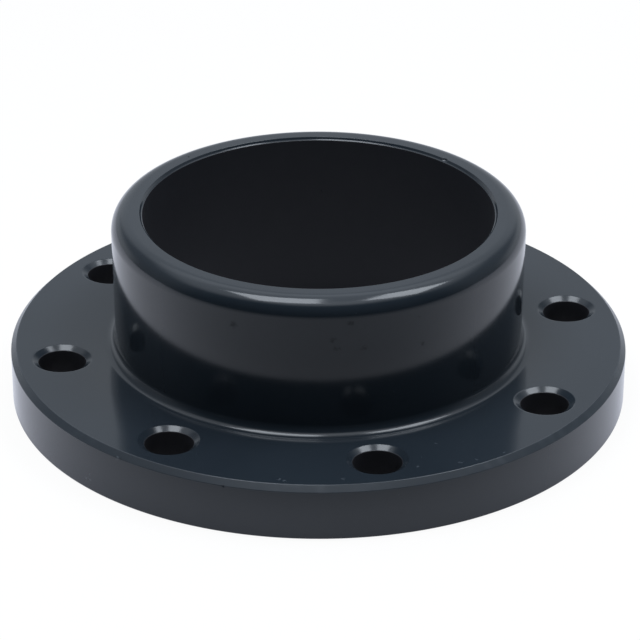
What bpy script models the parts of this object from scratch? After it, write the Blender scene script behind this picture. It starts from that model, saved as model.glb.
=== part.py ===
"""Socket flange for solvent-welded plastic pressure pipe, moulded as one piece.

Metres, +Z up. The sealing face lies on the plane z = 0 with its centre at the origin,
and the pipe socket opens upwards.
"""
import math

import bmesh
import bpy

# Pipe socket. Clearances are on the diameter.
PIPE_DIAMETER = 0.160
SOCKET_MOUTH_CLEARANCE = 0.0006
SOCKET_ROOT_CLEARANCE = 0.0001
SOCKET_DEPTH = 0.086
MOUTH_CHAMFER = 0.0014

# Pipe stop at the bottom of the socket
STOP_THICKNESS = 0.0032
STOP_WIDTH = 0.006
STOP_CORNER_RADIUS = 0.001
BORE_EDGE_CHAMFER = 0.0006

# Hub around the socket
HUB_WALL = 0.0143
HUB_RIM_RADIUS = 0.0086
RIM_LAND = 0.002
HUB_ROOT_RADIUS = 0.005

# Flange plate
PLATE_THICKNESS = 0.0256
PLATE_TOP_CHAMFER = 0.0025
PLATE_BOTTOM_EDGE_RADIUS = 0.001

# Bolts and their washers
BOLT_COUNT = 8
BOLT_DIAMETER = 0.020
BOLT_CLEARANCE = 0.002
BOLT_HOLE_CHAMFER = 0.0023
WASHER_DIAMETER = 0.037
WASHER_TO_HUB_FILLET = 0.0019
WASHER_TO_PLATE_CHAMFER = 0.0015

# V grooves in the sealing face
GROOVE_COUNT = 4
GROOVE_DEPTH = 0.001
GROOVE_WIDTH = 0.002

# Facets
RING_SEGMENTS = 96
HOLE_SEGMENTS = 24
LARGE_ROUND_STEPS = 6
SMALL_ROUND_STEPS = 4
EDGE_ROUND_STEPS = 2
SHARP_ANGLE = math.radians(30)
CUT_OVERLAP = 0.002

# Dark blue-grey rigid PVC with a satin surface
PVC_COLOUR = (0.020, 0.026, 0.034, 1.0)
PVC_ROUGHNESS = 0.28

# Sizes that follow from the values above
SOCKET_MOUTH_R = (PIPE_DIAMETER + SOCKET_MOUTH_CLEARANCE) / 2
SOCKET_ROOT_R = (PIPE_DIAMETER + SOCKET_ROOT_CLEARANCE) / 2
BORE_R = SOCKET_ROOT_R - STOP_WIDTH
HUB_R = SOCKET_MOUTH_R + HUB_WALL
TOTAL_HEIGHT = STOP_THICKNESS + SOCKET_DEPTH
RIM_RADIUS = min(HUB_RIM_RADIUS, HUB_WALL - MOUTH_CHAMFER - RIM_LAND)
WASHER_R = WASHER_DIAMETER / 2
HOLE_R = (BOLT_DIAMETER + BOLT_CLEARANCE) / 2
BOLT_CIRCLE_R = HUB_R + HUB_ROOT_RADIUS + WASHER_TO_HUB_FILLET + WASHER_R
PLATE_R = BOLT_CIRCLE_R + WASHER_R + WASHER_TO_PLATE_CHAMFER + PLATE_TOP_CHAMFER
GROOVE_PITCH = (BOLT_CIRCLE_R - HOLE_R - BORE_R) / (GROOVE_COUNT + 1)


def clear_scene():
    """Remove whatever the open file holds."""
    for item in list(bpy.data.objects):
        bpy.data.objects.remove(item, do_unlink=True)


def round_corner(centre_r, centre_z, radius, start, end, steps):
    """Points along a circular arc of the section, between two angles in degrees."""
    points = []
    for step in range(steps + 1):
        angle = math.radians(start + (end - start) * step / steps)
        points.append((centre_r + radius * math.cos(angle), centre_z + radius * math.sin(angle)))
    return points


def sealing_face_section():
    """The underside from the bore outwards: an eased edge, then the V grooves."""
    points = [(BORE_R, BORE_EDGE_CHAMFER), (BORE_R + BORE_EDGE_CHAMFER, 0.0)]
    for number in range(1, GROOVE_COUNT + 1):
        middle = BORE_R + number * GROOVE_PITCH
        points.append((middle - GROOVE_WIDTH / 2, 0.0))
        points.append((middle, GROOVE_DEPTH))
        points.append((middle + GROOVE_WIDTH / 2, 0.0))
    return points


def plate_section():
    """The plate's side, with its eased lower edge and its chamfered upper edge."""
    lower = PLATE_BOTTOM_EDGE_RADIUS
    points = round_corner(PLATE_R - lower, lower, lower, -90, 0, EDGE_ROUND_STEPS)
    points.append((PLATE_R, PLATE_THICKNESS - PLATE_TOP_CHAMFER))
    points.append((PLATE_R - PLATE_TOP_CHAMFER, PLATE_THICKNESS))
    return points


def hub_section():
    """The hub's outside, from the fillet on the plate to the rim's flat top."""
    root = HUB_ROOT_RADIUS
    rim = RIM_RADIUS
    points = round_corner(HUB_R + root, PLATE_THICKNESS + root, root, 270, 180, SMALL_ROUND_STEPS)
    points += round_corner(HUB_R - rim, TOTAL_HEIGHT - rim, rim, 0, 90, LARGE_ROUND_STEPS)
    return points


def socket_section():
    """The socket's inside: mouth chamfer, slight taper down to the stop, then the bore's edge."""
    corner = STOP_CORNER_RADIUS
    points = [(SOCKET_MOUTH_R + MOUTH_CHAMFER, TOTAL_HEIGHT), (SOCKET_MOUTH_R, TOTAL_HEIGHT - MOUTH_CHAMFER)]
    points += round_corner(
        SOCKET_ROOT_R - corner, STOP_THICKNESS + corner, corner, 0, -90, EDGE_ROUND_STEPS
    )
    points.append((BORE_R, STOP_THICKNESS))
    return points


def bolt_hole_section():
    """A plug that cuts one hole through the plate and its chamfer at the top."""
    return [
        (HOLE_R, -CUT_OVERLAP),
        (HOLE_R, PLATE_THICKNESS - BOLT_HOLE_CHAMFER),
        (HOLE_R + BOLT_HOLE_CHAMFER + CUT_OVERLAP, PLATE_THICKNESS + CUT_OVERLAP),
    ]


def add_turned(shape, section, segments, is_ring, centre_r=0.0, direction=0.0):
    """Turn a section, listed with its outer side going up, into a closed solid about its axis.

    A ring joins its last point to its first. A plug has a flat cap at each end. The axis
    stands at a radius and a direction from Z, with a facet's middle facing outwards.
    """
    loops = []
    for radius, height in section:
        loop = []
        for number in range(segments):
            angle = direction + 2 * math.pi * (number + 0.5) / segments
            x = centre_r * math.cos(direction) + radius * math.cos(angle)
            y = centre_r * math.sin(direction) + radius * math.sin(angle)
            loop.append(shape.verts.new((x, y, height)))
        loops.append(loop)
    followers = loops[1:] + loops[:1] if is_ring else loops[1:]
    for lower, upper in zip(loops, followers):
        for number in range(segments):
            shape.faces.new((lower[number - 1], lower[number], upper[number], upper[number - 1]))
    if not is_ring:
        shape.faces.new(list(reversed(loops[0])))
        shape.faces.new(loops[-1])


def finished_object(name, shape):
    """Put a finished shape into the scene under its name."""
    mesh = bpy.data.meshes.new(name)
    shape.to_mesh(mesh)
    shape.free()
    item = bpy.data.objects.new(name, mesh)
    bpy.context.scene.collection.objects.link(item)
    return item


def pvc_material():
    """Dark satin PVC."""
    material = bpy.data.materials.new("dark_grey_pvc")
    material.use_nodes = True
    surface = material.node_tree.nodes["Principled BSDF"]
    surface.inputs["Base Color"].default_value = PVC_COLOUR
    surface.inputs["Roughness"].default_value = PVC_ROUGHNESS
    surface.inputs["Metallic"].default_value = 0.0
    return material


def cut(target, cutter):
    """Cut one solid out of another for good, and remove the cutter."""
    modifier = target.modifiers.new("cut", "BOOLEAN")
    modifier.operation = "DIFFERENCE"
    modifier.solver = "EXACT"
    modifier.object = cutter
    depsgraph = bpy.context.evaluated_depsgraph_get()
    target.data = bpy.data.meshes.new_from_object(target.evaluated_get(depsgraph))
    target.modifiers.clear()
    bpy.data.objects.remove(cutter, do_unlink=True)


def bolt_hole_cutter():
    """One plug for each bolt hole, evenly spaced and straddling the X and Y axes."""
    shape = bmesh.new()
    for number in range(BOLT_COUNT):
        direction = 2 * math.pi * (number + 0.5) / BOLT_COUNT
        add_turned(shape, bolt_hole_section(), HOLE_SEGMENTS, False, BOLT_CIRCLE_R, direction)
    return finished_object("bolt_hole_cutter", shape)


def socket_flange():
    """The plate and hub turned as one ring, then the bolt holes on their circle."""
    section = sealing_face_section() + plate_section() + hub_section() + socket_section()
    shape = bmesh.new()
    # Half a facet back puts corners on the X and Y axes, so the overall width is exact.
    add_turned(shape, section, RING_SEGMENTS, True, direction=-math.pi / RING_SEGMENTS)
    flange = finished_object("socket_flange", shape)
    flange.data.materials.append(pvc_material())
    cut(flange, bolt_hole_cutter())
    flange.data.shade_smooth()
    flange.data.set_sharp_from_angle(angle=SHARP_ANGLE)
    return flange


clear_scene()
socket_flange()
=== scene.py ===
"""Looks of the moulded PVC socket flange: the finished piece, its material, the floor and the studio."""

import math

import bpy
from mathutils import Matrix, Vector


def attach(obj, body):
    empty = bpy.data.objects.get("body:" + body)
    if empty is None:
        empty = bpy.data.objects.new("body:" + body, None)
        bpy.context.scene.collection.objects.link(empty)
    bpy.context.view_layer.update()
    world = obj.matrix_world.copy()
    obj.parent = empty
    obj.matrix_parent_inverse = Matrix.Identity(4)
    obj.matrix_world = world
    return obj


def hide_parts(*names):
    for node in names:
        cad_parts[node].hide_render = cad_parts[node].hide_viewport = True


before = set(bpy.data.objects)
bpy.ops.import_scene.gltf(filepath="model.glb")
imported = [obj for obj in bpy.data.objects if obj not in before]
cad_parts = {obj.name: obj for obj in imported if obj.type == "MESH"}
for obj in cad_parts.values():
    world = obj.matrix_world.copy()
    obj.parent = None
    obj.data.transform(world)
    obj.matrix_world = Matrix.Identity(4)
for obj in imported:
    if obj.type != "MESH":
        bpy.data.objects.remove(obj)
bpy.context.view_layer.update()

# The photograph's view is turned by this about the upright axis, so the studio and the camera are too.
CAMERA_TURN = math.radians(10.19)

# Sizes of the flange in metres, as the part has them
SOCKET_MOUTH_R = 0.0803
SOCKET_ROOT_R = 0.08005
STOP_THICKNESS = 0.0032
STOP_CORNER_RADIUS = 0.001
BORE_R = 0.07405
BORE_EDGE_CHAMFER = 0.0006
HUB_R = 0.0946
HUB_RIM_RADIUS = 0.0086
HUB_ROOT_RADIUS = 0.005
TOTAL_HEIGHT = 0.0892
PLATE_R = 0.1425
PLATE_THICKNESS = 0.0256
PLATE_TOP_CHAMFER = 0.0025
PLATE_BOTTOM_EDGE_RADIUS = 0.001
BOLT_COUNT = 8
BOLT_CIRCLE_R = 0.120
NOMINAL_HOLE_R = 0.011
GROOVE_COUNT = 4
GROOVE_DEPTH = 0.001
GROOVE_WIDTH = 0.002

# The bolt holes as this one moulding has them: throat, lip, and depth of the chamfer between them
HOLE_R = 0.0108
HOLE_LIP_R = 0.0137
HOLE_CHAMFER_DEPTH = 0.0020

# The socket's mouth has a steep chamfer that ends in a narrow ledge. Each corner is given by its distance
# out from the socket's wall, its depth under the rim, and its rounding.
MOUTH_CORNERS = (
    (0.0013, 0.0, 0.0003),
    (0.0006, 0.0010, 0.0001),
    (0.0, 0.0014, 0.00015),
)

# Rounding that the moulding and the deburring leave on the edges, and the flat around a hole that its lip may take
EDGE_ROUND = 0.00045
BORE_EDGE_ROUND = 0.0002
GROOVE_EDGE_ROUND = 0.00012
GROOVE_BOTTOM_ROUND = 0.0002
HOLE_EDGE_ROUND = 0.0003
HOLE_LIP_ROUND = 0.0014
HOLE_LIP_FLAT = 0.01

# Facets, the weight of the large ones in the normals, and the small lengths that keep the cuts clean
EDGE_STEPS = 3
SMALL_ROUND_STEPS = 6
LIP_STEPS = 6
ROOT_STEPS = 16
RIM_STEPS = 24
RING_SEGMENTS = 384
HOLE_SEGMENTS = 96
NICK_SUBDIVISIONS = 4
LARGE_FACE_WEIGHT = 100
TURNING_RAIL_R = 0.02
CUT_OVERLAP = 0.002
ON_PLANE = 0.000004
MERGE_DISTANCE = 0.000001

# The thick root has shrunk as it cooled: the plate's top dips around the hub, and the hub is narrower there.
SINK_DEPTH = 0.0016
SINK_INNER_R = 0.097
SINK_OUTER_R = 0.130
SINK_POWER = 2.5
SINK_RINGS = 20
FOOT_NARROWING = 0.0004
# Where both set in and end: heights from the plate's top, and for the narrowing radii around the hub's wall
SINK_FROM = (-0.012, -0.003)
SINK_TO = (0.008, 0.030)
NARROWING_FROM_R = (0.086, 0.092)
NARROWING_TO_R = (HUB_R + HUB_ROOT_RADIUS, HUB_R + 0.012)

# Small nicks in edges: the place of the round that bites them, and its radius
NICKS = (
    (0.0486, 0.0645, 0.0896, 0.0016),
    (-0.0154, -0.1425, 0.0232, 0.0012),
)

# Marks in the skin, each with its place and its radius. Dark ones are dirt, light ones are scuffs and chips.
DARK_SPECKS = (
    (-0.0206, -0.0923, 0.0747, 0.0017),
    (0.0302, -0.0897, 0.0786, 0.0013),
    (0.0227, -0.0918, 0.0708, 0.0014),
    (0.0240, -0.0915, 0.0668, 0.0009),
    (0.0256, -0.0911, 0.0667, 0.0009),
    (0.0356, -0.0876, 0.0659, 0.0013),
    (0.0575, -0.0751, 0.0772, 0.0006),
    (0.0597, -0.0734, 0.0633, 0.0013),
    (0.0859, -0.0397, 0.0674, 0.0008),
    (0.0470, -0.0821, 0.0588, 0.0007),
    (-0.0637, -0.1275, 0.0230, 0.0008),
)
LIGHT_SPECKS = (
    (0.0815, -0.1080, 0.0256, 0.0010),
    (0.0643, -0.1147, 0.0256, 0.0006),
    (0.0690, -0.0933, 0.0254, 0.0006),
    (0.0879, -0.1042, 0.0256, 0.0006),
    (0.0345, -0.1305, 0.0256, 0.0007),
    (0.0994, -0.0960, 0.0256, 0.0006),
    (0.0075, -0.1363, 0.0256, 0.0008),
    (0.0101, -0.1367, 0.0256, 0.0007),
    (-0.0652, -0.1267, 0.0229, 0.0010),
    (-0.0822, -0.1164, 0.0057, 0.0009),
    (-0.0804, -0.1176, 0.0081, 0.0008),
    (-0.0800, -0.1179, 0.0058, 0.0009),
)


def arc(centre_r, centre_z, radius, start, end, steps):
    """Points along a circular arc of the section, between two angles in degrees."""
    points = []
    for step in range(steps + 1):
        angle = math.radians(start + (end - start) * step / steps)
        points.append((centre_r + radius * math.cos(angle), centre_z + radius * math.sin(angle)))
    return points


def eased(before, corner, after, radius, steps):
    """The points that round one corner of a section between its two neighbours."""
    a = (before[0] - corner[0], before[1] - corner[1])
    b = (after[0] - corner[0], after[1] - corner[1])
    length_a = math.hypot(*a)
    length_b = math.hypot(*b)
    a = (a[0] / length_a, a[1] / length_a)
    b = (b[0] / length_b, b[1] / length_b)
    half = math.acos(max(-1.0, min(1.0, a[0] * b[0] + a[1] * b[1]))) / 2
    reach = min(radius / math.tan(half), 0.45 * length_a, 0.45 * length_b)
    points = []
    for step in range(steps + 1):
        share = step / steps
        to_a = (1 - share) ** 2 * reach
        to_b = share ** 2 * reach
        points.append((corner[0] + a[0] * to_a + b[0] * to_b, corner[1] + a[1] * to_a + b[1] * to_b))
    return points


def uneased(points):
    """Points of a section as corners that stay as they are."""
    return [(point, 0.0) for point in points]


def eased_section(corners):
    """A closed section from its corners, each given with the radius that eases it, or 0."""
    points = []
    for number, (corner, radius) in enumerate(corners):
        if radius == 0:
            points.append(corner)
            continue
        before = corners[number - 1][0]
        after = corners[(number + 1) % len(corners)][0]
        points += eased(before, corner, after, radius, EDGE_STEPS)
    return points


def flange_section():
    """The flange's section, listed with its outer side going up."""
    corners = [
        ((BORE_R, BORE_EDGE_CHAMFER), BORE_EDGE_ROUND),
        ((BORE_R + BORE_EDGE_CHAMFER, 0.0), BORE_EDGE_ROUND),
    ]
    pitch = (BOLT_CIRCLE_R - NOMINAL_HOLE_R - BORE_R) / (GROOVE_COUNT + 1)
    for number in range(1, GROOVE_COUNT + 1):
        middle = BORE_R + number * pitch
        corners += [
            ((middle - GROOVE_WIDTH / 2, 0.0), GROOVE_EDGE_ROUND),
            ((middle, GROOVE_DEPTH), GROOVE_BOTTOM_ROUND),
            ((middle + GROOVE_WIDTH / 2, 0.0), GROOVE_EDGE_ROUND),
        ]
    low = PLATE_BOTTOM_EDGE_RADIUS
    corners += uneased(arc(PLATE_R - low, low, low, -90, 0, SMALL_ROUND_STEPS))
    corners += [
        ((PLATE_R, PLATE_THICKNESS - PLATE_TOP_CHAMFER), EDGE_ROUND),
        ((PLATE_R - PLATE_TOP_CHAMFER, PLATE_THICKNESS), EDGE_ROUND),
    ]
    root = HUB_ROOT_RADIUS
    for number in range(1, SINK_RINGS):
        radius = SINK_OUTER_R + (HUB_R + root - SINK_OUTER_R) * number / SINK_RINGS
        corners += uneased([(radius, PLATE_THICKNESS)])
    corners += uneased(arc(HUB_R + root, PLATE_THICKNESS + root, root, 270, 180, ROOT_STEPS))
    rim = HUB_RIM_RADIUS
    corners += uneased(arc(HUB_R - rim, TOTAL_HEIGHT - rim, rim, 0, 90, RIM_STEPS))
    for outward, down, edge_round in MOUTH_CORNERS:
        corners.append(((SOCKET_MOUTH_R + outward, TOTAL_HEIGHT - down), edge_round))
    stop = STOP_CORNER_RADIUS
    corners += uneased(arc(SOCKET_ROOT_R - stop, STOP_THICKNESS + stop, stop, 0, -90, SMALL_ROUND_STEPS))
    corners.append(((BORE_R, STOP_THICKNESS), BORE_EDGE_ROUND))
    return eased_section(corners)


def hole_section():
    """Half the section of the plug that cuts one bolt hole, from its axis and back to it."""
    bottom = (HOLE_R, -CUT_OVERLAP)
    throat = (HOLE_R, PLATE_THICKNESS - HOLE_CHAMFER_DEPTH)
    lip = (HOLE_LIP_R, PLATE_THICKNESS)
    beyond = (HOLE_LIP_R + HOLE_LIP_FLAT, PLATE_THICKNESS)
    points = [(0.0, -CUT_OVERLAP), bottom]
    points += eased(bottom, throat, lip, HOLE_EDGE_ROUND, EDGE_STEPS)
    points += eased(throat, lip, beyond, HOLE_LIP_ROUND, LIP_STEPS)
    # The rounding ends a little over the plate's top, so that the cut meets it at a clean edge.
    last_r = points[-1][0]
    points[-1] = (last_r, points[-1][1] + ON_PLANE)
    points.append((last_r + CUT_OVERLAP, PLATE_THICKNESS + CUT_OVERLAP))
    points.append((0.0, PLATE_THICKNESS + CUT_OVERLAP))
    return points


def section_mesh(name, points, closed):
    """A section as a mesh of edges in the X Y plane: X is the radius, Y is the height."""
    mesh = bpy.data.meshes.new(name)
    edges = [(number, number + 1) for number in range(len(points) - 1)]
    if closed:
        edges.append((len(points) - 1, 0))
    mesh.from_pydata([(radius, height, 0.0) for radius, height in points], edges, [])
    item = bpy.data.objects.new(name, mesh)
    bpy.context.scene.collection.objects.link(item)
    return item


class Tree:
    """A node tree, with one method that adds a node, its settings and the values or links of its sockets."""

    def __init__(self, tree):
        self.tree = tree

    def node(self, kind, settings=None, **sockets):
        """A socket is given by its name, with _ for a space, or by its number, as in i0."""
        made = self.tree.nodes.new(kind)
        for name, value in (settings or {}).items():
            setattr(made, name, value)
        for name, value in sockets.items():
            key = int(name[1:]) if name[0] == "i" and name[1:].isdigit() else name.replace("_", " ")
            self.feed(made.inputs[key], value)
        return made

    def value(self, operation, a, b=None):
        """A Math node on numbers or sockets."""
        return Value(self, self.node("ShaderNodeMath", {"operation": operation}, i0=a, i1=b).outputs[0])

    def feed(self, socket, value):
        """Link a socket to another or to a Value, or set it to a plain value."""
        if isinstance(value, Value):
            value = value.socket
        if isinstance(value, bpy.types.NodeSocket):
            self.tree.links.new(value, socket)
        elif value is not None:
            socket.default_value = value


class Value:
    """A number in a shader tree: an expression on it adds its Math nodes."""

    def __init__(self, tree, socket):
        self.tree = tree
        self.socket = socket

    def __add__(self, other):
        return self.tree.value("ADD", self, other)

    def __radd__(self, other):
        return self.tree.value("ADD", other, self)

    def __sub__(self, other):
        return self.tree.value("SUBTRACT", self, other)

    def __rsub__(self, other):
        return self.tree.value("SUBTRACT", other, self)

    def __mul__(self, other):
        return self.tree.value("MULTIPLY", self, other)

    def __rmul__(self, other):
        return self.tree.value("MULTIPLY", other, self)

    def __truediv__(self, other):
        return self.tree.value("DIVIDE", self, other)

    def __rtruediv__(self, other):
        return self.tree.value("DIVIDE", other, self)

    def __pow__(self, other):
        return self.tree.value("POWER", self, other)

    def ramp(self, low, high, shape="LINEAR"):
        """0 below low, 1 above high, and a straight or another shape between them."""
        settings = {"interpolation_type": shape}
        made = self.tree.node("ShaderNodeMapRange", settings, i0=self, i1=low, i2=high, i3=0.0, i4=1.0)
        return Value(self.tree, made.outputs[0])

    def step(self, low, high):
        """0 below low, 1 above high, and smooth between them."""
        return self.ramp(low, high, "SMOOTHSTEP")


TURNED_FLANGE_INPUTS = (
    ("Section", "NodeSocketGeometry"),
    ("Hole section", "NodeSocketObject"),
    ("Ring facets", "NodeSocketInt"),
    ("Hole facets", "NodeSocketInt"),
    ("Holes", "NodeSocketInt"),
    ("Hole circle radius", "NodeSocketFloat"),
    ("Material", "NodeSocketMaterial"),
)


def turned_flange_tree():
    """Geometry nodes that turn the section, cut the bolt holes and the nicks, and shrink the thick root."""
    group = bpy.data.node_groups.new("turned_flange", "GeometryNodeTree")
    for name, kind in TURNED_FLANGE_INPUTS:
        group.interface.new_socket(name, in_out="INPUT", socket_type=kind)
    group.interface.new_socket("Flange", in_out="OUTPUT", socket_type="NodeSocketGeometry")
    tree = Tree(group)
    given = tree.node("NodeGroupInput").outputs

    def turned(section, facets):
        """A section turned about Z: swept along a small circle, and moved in by that circle's radius."""
        moved = {"Translation": (-TURNING_RAIL_R, 0.0, 0.0), "Scale": (1.0, -1.0, 1.0)}
        inward = tree.node("GeometryNodeTransform", Geometry=section, **moved)
        outline = tree.node("GeometryNodeMeshToCurve", Mesh=inward.outputs[0]).outputs[0]
        circle = {"Resolution": facets, "Radius": TURNING_RAIL_R}
        rail = tree.node("GeometryNodeCurvePrimitiveCircle", {"mode": "RADIUS"}, **circle).outputs["Curve"]
        swept = tree.node("GeometryNodeCurveToMesh", Curve=rail, Profile_Curve=outline).outputs[0]
        merged = tree.node("GeometryNodeMergeByDistance", Geometry=swept, Distance=MERGE_DISTANCE)
        return tree.node("GeometryNodeFlipFaces", Mesh=merged.outputs[0]).outputs[0]

    def cut(solid, cutters):
        """A solid with other closed solids cut out of it."""
        settings = {"operation": "DIFFERENCE", "solver": "EXACT"}
        return tree.node("GeometryNodeMeshBoolean", settings, Mesh_1=solid, Mesh_2=cutters).outputs[0]

    hole = tree.node("GeometryNodeObjectInfo", Object=given["Hole section"]).outputs["Geometry"]
    plug = turned(hole, given["Hole facets"])
    circle = tree.node("GeometryNodeMeshCircle", Vertices=given["Holes"], Radius=given["Hole circle radius"])
    half_a_step = (0.0, 0.0, math.pi / BOLT_COUNT)
    places = tree.node("GeometryNodeTransform", Geometry=circle.outputs[0], Rotation=half_a_step).outputs[0]
    plugs = tree.node("GeometryNodeInstanceOnPoints", Points=places, Instance=plug)
    cutters = tree.node("GeometryNodeRealizeInstances", Geometry=plugs.outputs[0])
    drilled = cut(turned(given["Section"], given["Ring facets"]), cutters.outputs[0])

    balls = tree.node("GeometryNodeJoinGeometry")
    for across, back, up, radius in NICKS:
        ball = tree.node("GeometryNodeMeshIcoSphere", Radius=radius, Subdivisions=NICK_SUBDIVISIONS)
        moved = tree.node("GeometryNodeTransform", Geometry=ball.outputs[0], Translation=(across, back, up))
        tree.feed(balls.inputs[0], moved.outputs[0])
    nicked = cut(drilled, balls.outputs[0])

    place = tree.node("GeometryNodeInputPosition").outputs[0]
    spot = tree.node("ShaderNodeSeparateXYZ", Vector=place).outputs
    x, y, z = (Value(tree, spot[axis]) for axis in "XYZ")
    away = (x * x + y * y) ** 0.5
    top = PLATE_THICKNESS
    near_top = z.step(top + SINK_FROM[0], top + SINK_FROM[1])
    below_rim = 1 - z.step(top + SINK_TO[0], top + SINK_TO[1])
    outward = away.ramp(SINK_INNER_R, SINK_OUTER_R)
    drop = (1 - outward) ** SINK_POWER * near_top * below_rim * -SINK_DEPTH
    on_hub = away.ramp(*NARROWING_FROM_R) * (1 - away.ramp(*NARROWING_TO_R)) * near_top
    narrower = on_hub * (1 - z.ramp(top + HUB_ROOT_RADIUS, TOTAL_HEIGHT - HUB_RIM_RADIUS))
    inward = narrower * -FOOT_NARROWING / away
    shift = tree.node("ShaderNodeCombineXYZ", X=x * inward, Y=y * inward, Z=drop).outputs[0]
    sunk = tree.node("GeometryNodeSetPosition", Geometry=nicked, Offset=shift)
    smooth = tree.node("GeometryNodeSetShadeSmooth", Geometry=sunk.outputs[0], Shade_Smooth=True)
    real = tree.node("GeometryNodeRealizeInstances", Geometry=smooth.outputs[0])
    dressed = tree.node("GeometryNodeSetMaterial", Geometry=real.outputs[0], Material=given["Material"])
    tree.node("NodeGroupOutput", Flange=dressed.outputs[0])
    return group


def noise(tree, place, scale, detail):
    """Soft noise around 0.5 at so many cells a metre."""
    made = tree.node("ShaderNodeTexNoise", Vector=place, Scale=scale, Detail=detail, Roughness=0.5)
    return Value(tree, made.outputs["Fac"])


def blend(tree, share, first, second):
    """The first colour where the share is 0 and the second where it is 1."""
    made = tree.node("ShaderNodeMix", {"data_type": "RGBA"})
    for name, value in (("Factor_Float", share), ("A_Color", first), ("B_Color", second)):
        socket = next(item for item in made.inputs if item.identifier == name)
        tree.feed(socket, value)
    return next(item for item in made.outputs if item.identifier == "Result_Color")


def specks(tree, place, spots):
    """1 inside any of the given small spots, which fade out around their radius."""
    found = 0.0
    for x, y, z, radius in spots:
        away = tree.node("ShaderNodeVectorMath", {"operation": "DISTANCE"}, i0=place, i1=(x, y, z))
        spot = 1 - Value(tree, away.outputs["Value"]).step(radius * 0.2, radius * 1.3)
        found = tree.value("MAXIMUM", found, spot)
    return found


def scattered(tree, place, scale, size, share):
    """1 inside small spots in a share of the cells, with the spot's size as a share of its cell."""
    cells = tree.node("ShaderNodeTexVoronoi", Vector=place, Scale=scale)
    pick = tree.node("ShaderNodeSeparateColor", Color=cells.outputs["Color"]).outputs[0]
    near = 1 - Value(tree, cells.outputs["Distance"]).step(size * 0.4, size)
    return near * (1 - Value(tree, pick).step(share, share + 0.01))


# The PVC. Colours are linear, lengths are metres, and the scale of a noise is its cells in a metre.
SKIN_COLOURS = ((0.0170, 0.0234, 0.0308, 1.0), (0.0198, 0.0270, 0.0352, 1.0))
FLOW_COLOUR = (0.0208, 0.0272, 0.0362, 1.0)
FLOW_SHARE = 0.25
MOTTLE_COLOUR = (0.0132, 0.0190, 0.0274, 1.0)
MOTTLE_SHARE = 0.20
INNER_COLOURS = ((0.0172, 0.0178, 0.0232, 1.0), (0.0222, 0.0228, 0.0282, 1.0))
# Light colour of chips, dust and the rubbed chamfer; on the chamfer it is also a painted sheen.
SCUFF_AND_SHEEN_COLOUR = (0.2200, 0.2500, 0.2800, 1.0)
CHIP_SHARE = 0.22
DUST_SHARE = 0.12
CHAMFER_WEAR_AND_SHEEN_SHARE = 0.12
GRIME_COLOUR = (0.0080, 0.0085, 0.0095, 1.0)
GRIME_SHARE = 0.42
SKIN_ROUGHNESS = 0.085
DULL_ROUGHNESS = 0.42
HOLE_ROUGHNESS = 0.06
SCUFF_ROUGHNESS = 0.35
CHAMFER_ROUGHNESS = 0.10
# Radii between which the skin gives way to another finish: around the socket, and around a hole's throat and lip
SOCKET_FINISH_R = (SOCKET_MOUTH_R - 0.0001, SOCKET_MOUTH_R + 0.0003)
THROAT_FINISH_R = (HOLE_R + 0.0001, HOLE_R + 0.0004)
LIP_FINISH_R = (HOLE_LIP_R, HOLE_LIP_R + 0.0003)
# Noises, and their heights in the relief
CLOUD_SCALE = 14.0
RIPPLE_SCALE = 55.0
MOTTLE_SCALE = 120.0
GRAIN_SCALE = 1400.0
RIPPLE_HEIGHT = 0.000006
MOTTLE_HEIGHT = 0.0000015
GRAIN_HEIGHT = 0.0000004
DULL_GRAIN_HEIGHT = 0.000004
# Streaks of the flow: cells around the flange, outwards and upwards, before the scale
FLOW_CELLS = (4.0, 6.0, 8.0)
FLOW_SCALE = 1.6
# Marks are pushed about by this much, so that their outlines are ragged.
RAGGED_SCALE = 900.0
RAGGEDNESS = 0.0012
# Scattered spots: cells in a metre, size as a share of a cell, share of the cells that have one. Stray dirt is
# stronger on the side that the photograph doesn't show, and dust lies on the upper parts.
STRAY_DIRT = (70.0, 0.05, 0.30)
STRAY_SHARE = 0.2
UNSEEN_STRAY_SHARE = 0.3
UNSEEN_SIDE = (-0.03, 0.03)
DUST = (190.0, 0.055, 0.22)
DUSTY_HEIGHT = (0.0, 0.02)
# The plate's chamfer, rubbed and lighter with a painted sheen: where it starts, as shares of its width, and where
# it ends, under the plate's top
CHAMFER_START = (-0.25, 0.05)
CHAMFER_END = (0.0031, 0.0027)
# Rings that cutting tools left: spacing, height, and where the rim's faced ledge and the underside end
FACING_PITCH = 0.00035
BORING_PITCH = 0.0006
RING_HEIGHT = 0.0000016
LEDGE_DEPTH = (0.0018, 0.0015)
LEDGE_R = (0.0820, 0.0826)
UNDERSIDE_HEIGHT = (0.0003, 0.0010)


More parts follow.
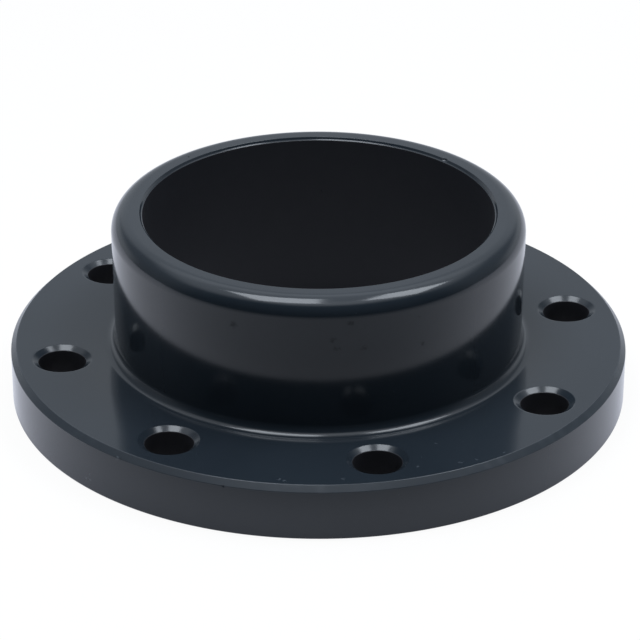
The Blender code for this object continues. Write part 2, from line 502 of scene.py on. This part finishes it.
def pvc_material():
    """Dark blue-grey PVC: a satin moulded skin outside, a duller one in the socket and the bolt holes."""
    made = bpy.data.materials.new("dark_grey_pvc")
    made.use_nodes = True
    tree = Tree(made.node_tree)
    surface = made.node_tree.nodes["Principled BSDF"]
    place = tree.node("ShaderNodeTexCoord").outputs["Object"]
    spot = tree.node("ShaderNodeSeparateXYZ", Vector=place).outputs
    x, y, z = (Value(tree, spot[axis]) for axis in "XYZ")
    outward = (x * x + y * y) ** 0.5

    # Where the socket's inside is, and where the nearest bolt hole is
    hole_angle = 2 * math.pi / BOLT_COUNT
    inside = 1 - outward.step(*SOCKET_FINISH_R)
    around = tree.value("ARCTAN2", y, x) / hole_angle
    aside = (tree.value("FRACT", around) - 0.5) * hole_angle
    along = outward * tree.value("COSINE", aside) - BOLT_CIRCLE_R
    across = outward * tree.value("SINE", aside)
    from_hole = (along * along + across * across) ** 0.5
    in_hole = 1 - from_hole.step(*THROAT_FINISH_R)
    near_hole = 1 - from_hole.step(*LIP_FINISH_R)
    dull = tree.value("MAXIMUM", inside, in_hole)

    # Clouds in the colour, streaks of the flow outwards from the gate, and a fine grain
    clouds = noise(tree, place, CLOUD_SCALE, 2.0)
    mottle = noise(tree, place, MOTTLE_SCALE, 1.0)
    grain = noise(tree, place, GRAIN_SCALE, 0.0)
    cells = {axis: value * count for axis, value, count in zip("XYZ", (around, outward, z), FLOW_CELLS)}
    flow = noise(tree, tree.node("ShaderNodeCombineXYZ", **cells).outputs[0], FLOW_SCALE, 1.0)

    # Marks: the ones that show, the ones elsewhere, and the rubbed chamfer, lighter with a painted sheen
    wobble = tree.node("ShaderNodeTexNoise", Vector=place, Scale=RAGGED_SCALE, Detail=0.0).outputs["Color"]
    twice, once = (2 * RAGGEDNESS,) * 3, (-RAGGEDNESS,) * 3
    shift = tree.node("ShaderNodeVectorMath", {"operation": "MULTIPLY_ADD"}, i0=wobble, i1=twice, i2=once)
    ragged = tree.node("ShaderNodeVectorMath", {"operation": "ADD"}, i0=place, i1=shift.outputs[0]).outputs[0]
    stray = scattered(tree, ragged, *STRAY_DIRT) * (STRAY_SHARE + y.step(*UNSEEN_SIDE) * UNSEEN_STRAY_SHARE)
    dirt = tree.value("MAXIMUM", specks(tree, ragged, DARK_SPECKS) * GRIME_SHARE, stray)
    chips = specks(tree, ragged, LIGHT_SPECKS)
    dust = scattered(tree, place, *DUST) * z.step(*DUSTY_HEIGHT) * (1 - dull)
    top_edge = (outward - (PLATE_R - PLATE_TOP_CHAMFER)) / PLATE_TOP_CHAMFER
    near_top = z.step(PLATE_THICKNESS - CHAMFER_END[0], PLATE_THICKNESS - CHAMFER_END[1])
    on_chamfer = top_edge.step(*CHAMFER_START) * near_top
    # The rubbed chamfer is lighter: partly wear, partly a painted sheen of the soft box that it reflects.
    chamfer_wear_and_sheen = on_chamfer * (0.5 + clouds.step(0.45, 0.75) * mottle.step(0.45, 0.75))
    scuffs_and_sheen = tree.value("MAXIMUM", chips * CHIP_SHARE, dust * DUST_SHARE)
    scuffs_and_sheen = tree.value("MAXIMUM", scuffs_and_sheen, chamfer_wear_and_sheen * CHAMFER_WEAR_AND_SHEEN_SHARE)

    # Colour
    skin = blend(tree, clouds.step(0.30, 0.70), *SKIN_COLOURS)
    skin = blend(tree, flow.step(0.55, 0.75) * FLOW_SHARE, skin, FLOW_COLOUR)
    skin = blend(tree, mottle.step(0.55, 0.80) * MOTTLE_SHARE, skin, MOTTLE_COLOUR)
    colour = blend(tree, dull, skin, blend(tree, mottle, *INNER_COLOURS))
    tree.feed(surface.inputs["Base Color"], blend(tree, scuffs_and_sheen, colour, SCUFF_AND_SHEEN_COLOUR))

    # Gloss
    rough = SKIN_ROUGHNESS + clouds * 0.03 + mottle * 0.02 + flow * 0.02
    rough = rough + near_hole * HOLE_ROUGHNESS + dull * (DULL_ROUGHNESS + grain * 0.1)
    rough = rough + scuffs_and_sheen * SCUFF_ROUGHNESS + on_chamfer * CHAMFER_ROUGHNESS
    tree.feed(surface.inputs["Roughness"], rough)

    # Relief in metres: a faint ripple of the mould, grain, and the rings that cutting tools left
    at_rim = z.step(TOTAL_HEIGHT - LEDGE_DEPTH[0], TOTAL_HEIGHT - LEDGE_DEPTH[1])
    on_ledge = at_rim * (1 - outward.step(*LEDGE_R))
    faced = tree.value("MAXIMUM", on_ledge, 1 - z.step(*UNDERSIDE_HEIGHT))
    rings = tree.value("SINE", outward * (2 * math.pi / FACING_PITCH)) * faced
    bored = tree.value("SINE", z * (2 * math.pi / BORING_PITCH) + mottle * 3.0) * near_hole * 0.6
    ripple = noise(tree, place, RIPPLE_SCALE, 0.0)
    relief = ripple * RIPPLE_HEIGHT + mottle * MOTTLE_HEIGHT + grain * GRAIN_HEIGHT
    relief = relief + (rings + bored) * RING_HEIGHT + dull * grain * DULL_GRAIN_HEIGHT
    bump = tree.node("ShaderNodeBump", Height=relief, Distance=1.0, Strength=1.0)
    tree.feed(surface.inputs["Normal"], bump.outputs[0])

    # Dirt lies over the skin, matt and darker.
    grime = tree.node("ShaderNodeBsdfDiffuse", Color=GRIME_COLOUR, Roughness=1.0)
    dirty = tree.node("ShaderNodeMixShader", i0=dirt, i1=surface.outputs[0], i2=grime.outputs[0])
    tree.feed(made.node_tree.nodes["Material Output"].inputs["Surface"], dirty.outputs[0])
    return made


def plain_mesh(item, name):
    """The evaluated object as a new object with a plain mesh, and the old one removed."""
    depsgraph = bpy.context.evaluated_depsgraph_get()
    mesh = bpy.data.meshes.new_from_object(item.evaluated_get(depsgraph))
    mesh.name = name
    made = bpy.data.objects.new(name, mesh)
    bpy.context.scene.collection.objects.link(made)
    bpy.data.objects.remove(item, do_unlink=True)
    return made


def flange(material):
    """The finished flange: turned and drilled by its node tree, with normals that keep the flats flat."""
    blank = section_mesh("flange_blank", flange_section(), closed=True)
    hole = section_mesh("bolt_hole_section", hole_section(), closed=False)
    blank.data.materials.append(material)
    group = turned_flange_tree()
    given = {
        "Hole section": hole, "Ring facets": RING_SEGMENTS, "Hole facets": HOLE_SEGMENTS,
        "Holes": BOLT_COUNT, "Hole circle radius": BOLT_CIRCLE_R, "Material": material,
    }
    turning = blank.modifiers.new("turning", "NODES")
    turning.node_group = group
    for socket in group.interface.items_tree:
        if socket.in_out == "INPUT" and socket.name in given:
            turning[socket.identifier] = given[socket.name]
    drilled = plain_mesh(blank, "drilled")
    bpy.data.objects.remove(hole, do_unlink=True)
    weighting = drilled.modifiers.new("normals", "WEIGHTED_NORMAL")
    weighting.weight = LARGE_FACE_WEIGHT
    return plain_mesh(drilled, "flange")


# The studio: a white cove that is open and dark on the camera's side, with two soft boxes overhead.
# Right and back are as the camera sees them.
LIGHT_TINT = (0.93, 0.995, 1.08)

# The floor: how much of its white is its own light where it is seen and where it is mirrored, and the tint there
FLOOR_REACH = 12.0
FLOOR_WHITE = 0.8
WHITE_SHARE = 0.93
MIRROR_SHARE = 0.74
FLOOR_TINT = (0.95, 0.99, 1.14)
# Its brightness to the object is painted light and shade: at the left and the right, more near the plate,
# a painted shadow in a ring ahead of it, painted shade under it, and less and less towards the open front.
# Distances are from the flange's axis.
LEFT_SHARE = 0.92
RIGHT_SHARE = 0.78
LEFT_TO_RIGHT = (-0.15, 0.15)
NEAR_SHARE = 0.24
NEAR_R = (0.160, 0.200)
SHADED_SHARE = 0.20
SHADED_R = (0.200, 0.250)
SHADED_AHEAD = (0.0, 0.16)
UNDER_FLANGE_SHARE = 0.25
UNDER_FLANGE_R = (0.130, 0.146)
FRONT_FALL_START = 0.05
FRONT_FALL = 0.22

# The walls and the ceiling. Each range says where one sets in and is full, as a part of the direction to it.
SIDE_LIGHT = 0.22
SIDE_WALLS = (-0.45, 0.10)
BACK_LIGHT = 0.365
BACK_WALL = (0.3, 0.6)
BACK_WALL_SIDES = (0.12, 0.36)
BACK_WALL_TOP = (0.15, 0.40)
CEILING_LIGHT = 0.72
CEILING = (0.58, 0.82)
CEILING_SLOPE = 0.25
FRONT_CEILING_LIGHT = 0.60
FRONT_CEILING = (0.80, 0.92)
FRONT_CEILING_BACK = (-0.30, 0.0)

SOFT_BOX_HEIGHT = 1.2
SOFT_BOXES = (
    # centre to the right and to the back, width, depth, radiance
    (-0.245, -0.16, 0.51, 0.62, 5.4),
    (0.58, -0.02, 0.54, 0.56, 5.4),
)


def studio_place(tree, kind, output):
    """How far right, back and up a point or a direction lies, as the camera sees it."""
    place = tree.node("ShaderNodeTexCoord").outputs[output]
    back_turn = (0.0, 0.0, -CAMERA_TURN)
    turned = tree.node("ShaderNodeMapping", {"vector_type": kind}, Vector=place, Rotation=back_turn)
    parts = tree.node("ShaderNodeSeparateXYZ", Vector=turned.outputs[0]).outputs
    return [Value(tree, parts[axis]) for axis in "XYZ"]


def floor():
    """A white floor with painted light and shade, dimmer in reflections towards the open front. The camera sees it
    white.
    """
    mesh = bpy.data.meshes.new("floor")
    reach = FLOOR_REACH
    corners = [(-reach, -reach, 0), (reach, -reach, 0), (reach, reach, 0), (-reach, reach, 0)]
    mesh.from_pydata(corners, [], [(0, 1, 2, 3)])
    made = bpy.data.objects.new("floor", mesh)
    bpy.context.scene.collection.objects.link(made)
    material = bpy.data.materials.new("white_floor")
    material.use_nodes = True
    tree = Tree(material.node_tree)
    material.node_tree.nodes.clear()
    right, back, _ = studio_place(tree, "POINT", "Object")
    ahead = tree.value("MAXIMUM", -FRONT_FALL_START - back, 0.0)
    away = (right * right + back * back) ** 0.5
    beyond = away.step(*NEAR_R)
    shaded = (beyond - away.step(*SHADED_R)) * ahead.step(*SHADED_AHEAD)
    level = LEFT_SHARE + right.step(*LEFT_TO_RIGHT) * (RIGHT_SHARE - LEFT_SHARE)
    level = level + (1 - beyond) * NEAR_SHARE - shaded * SHADED_SHARE
    # Painted light and shade on the floor: a painted shadow ring ahead, painted shade under the flange, and less
    # light towards the front.
    lit = tree.value("EXPONENT", ahead / -FRONT_FALL) * level
    lit = lit * (UNDER_FLANGE_SHARE + away.step(*UNDER_FLANGE_R) * (1 - UNDER_FLANGE_SHARE))
    path = tree.node("ShaderNodeLightPath").outputs
    seen = Value(tree, path["Is Camera Ray"])
    mirrored = Value(tree, path["Is Glossy Ray"]) + Value(tree, path["Is Transmission Ray"])
    grey = lit * (1 - seen) * FLOOR_WHITE + seen
    shade = tree.node("ShaderNodeCombineColor", i0=grey, i1=grey, i2=grey)
    matt = tree.node("ShaderNodeBsdfDiffuse", Color=shade.outputs[0])
    tint = blend(tree, seen, (*FLOOR_TINT, 1.0), (1.0, 1.0, 1.0, 1.0))
    white = tree.node("ShaderNodeEmission", Color=tint, Strength=1.0)
    share = seen * WHITE_SHARE + mirrored * lit * MIRROR_SHARE
    mixed = tree.node("ShaderNodeMixShader", i0=share, i1=matt.outputs[0], i2=white.outputs[0])
    tree.node("ShaderNodeOutputMaterial", Surface=mixed.outputs[0])
    mesh.materials.append(material)


def studio():
    """The walls and ceiling around the floor as the world's light, and the soft boxes."""
    world = bpy.data.worlds.new("studio")
    world.use_nodes = True
    world.node_tree.nodes.clear()
    tree = Tree(world.node_tree)
    right, back, up = studio_place(tree, "VECTOR", "Generated")
    middle = 1 - (right * right).step(*BACK_WALL_SIDES)
    behind = back.step(*BACK_WALL) * tree.value("MAXIMUM", middle, 1 - up.step(*BACK_WALL_TOP))
    walls = back.step(*SIDE_WALLS) * SIDE_LIGHT + behind * BACK_LIGHT
    sloped = up + tree.value("MINIMUM", back, 0.0) * CEILING_SLOPE
    front = up.step(*FRONT_CEILING) * (1 - back.step(*FRONT_CEILING_BACK))
    ceiling = sloped.step(*CEILING) * CEILING_LIGHT + front * FRONT_CEILING_LIGHT
    shade = tree.node("ShaderNodeBackground", Color=(*LIGHT_TINT, 1.0), Strength=walls + ceiling)
    tree.node("ShaderNodeOutputWorld", Surface=shade.outputs[0])
    bpy.context.scene.world = world
    turn = Matrix.Rotation(CAMERA_TURN, 3, "Z")
    for number, (to_right, to_back, width, depth, radiance) in enumerate(SOFT_BOXES):
        lamp = bpy.data.lights.new(f"soft_box_{number + 1}", "AREA")
        lamp.shape = "RECTANGLE"
        lamp.size = width
        lamp.size_y = depth
        lamp.color = LIGHT_TINT
        lamp.energy = radiance * math.pi * width * depth
        made = bpy.data.objects.new(lamp.name, lamp)
        bpy.context.scene.collection.objects.link(made)
        made.location = turn @ Vector((to_right, to_back, SOFT_BOX_HEIGHT))
        made.rotation_euler = (0.0, 0.0, CAMERA_TURN)


# The camera stands in the photograph's place: low over the front, about 1.4 metres away.
# Its offset and distance are in units of the plate's radius, and its focal length is in pixels.
CAMERA_DOWN = math.radians(27.19521)
CAMERA_ROLL = math.radians(0.10523)
CAMERA_OFFSET = (-0.00554, -0.20069)
CAMERA_DISTANCE = 9.70955
CAMERA_FOCUS = 2947.92065
PICTURE_SIZE = 640
SENSOR_WIDTH = 36.0
CLIP = (0.05, 100.0)


def camera():
    """The camera, from its direction, roll, distance and offset."""
    forward = Vector((0.0, math.cos(CAMERA_DOWN), -math.sin(CAMERA_DOWN)))
    right = Vector((1.0, 0.0, 0.0))
    up = Vector((0.0, math.sin(CAMERA_DOWN), math.cos(CAMERA_DOWN)))
    x_axis = math.cos(CAMERA_ROLL) * right + math.sin(CAMERA_ROLL) * up
    y_axis = math.cos(CAMERA_ROLL) * up - math.sin(CAMERA_ROLL) * right
    to_flange = CAMERA_OFFSET[0] * x_axis + CAMERA_OFFSET[1] * y_axis + CAMERA_DISTANCE * forward
    pose = Matrix((x_axis, y_axis, -forward)).transposed().to_4x4()
    pose.translation = -to_flange * PLATE_R
    data = bpy.data.cameras.new("camera")
    data.sensor_width = SENSOR_WIDTH
    data.lens = CAMERA_FOCUS * SENSOR_WIDTH / PICTURE_SIZE
    data.clip_start, data.clip_end = CLIP
    made = bpy.data.objects.new("camera", data)
    bpy.context.scene.collection.objects.link(made)
    made.matrix_world = Matrix.Rotation(CAMERA_TURN, 4, "Z") @ pose
    bpy.context.scene.camera = made


camera()
body = flange(pvc_material())
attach(body, "root")
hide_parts("socket_flange")
floor()
studio()
bpy.context.scene.view_settings.view_transform = "Standard"
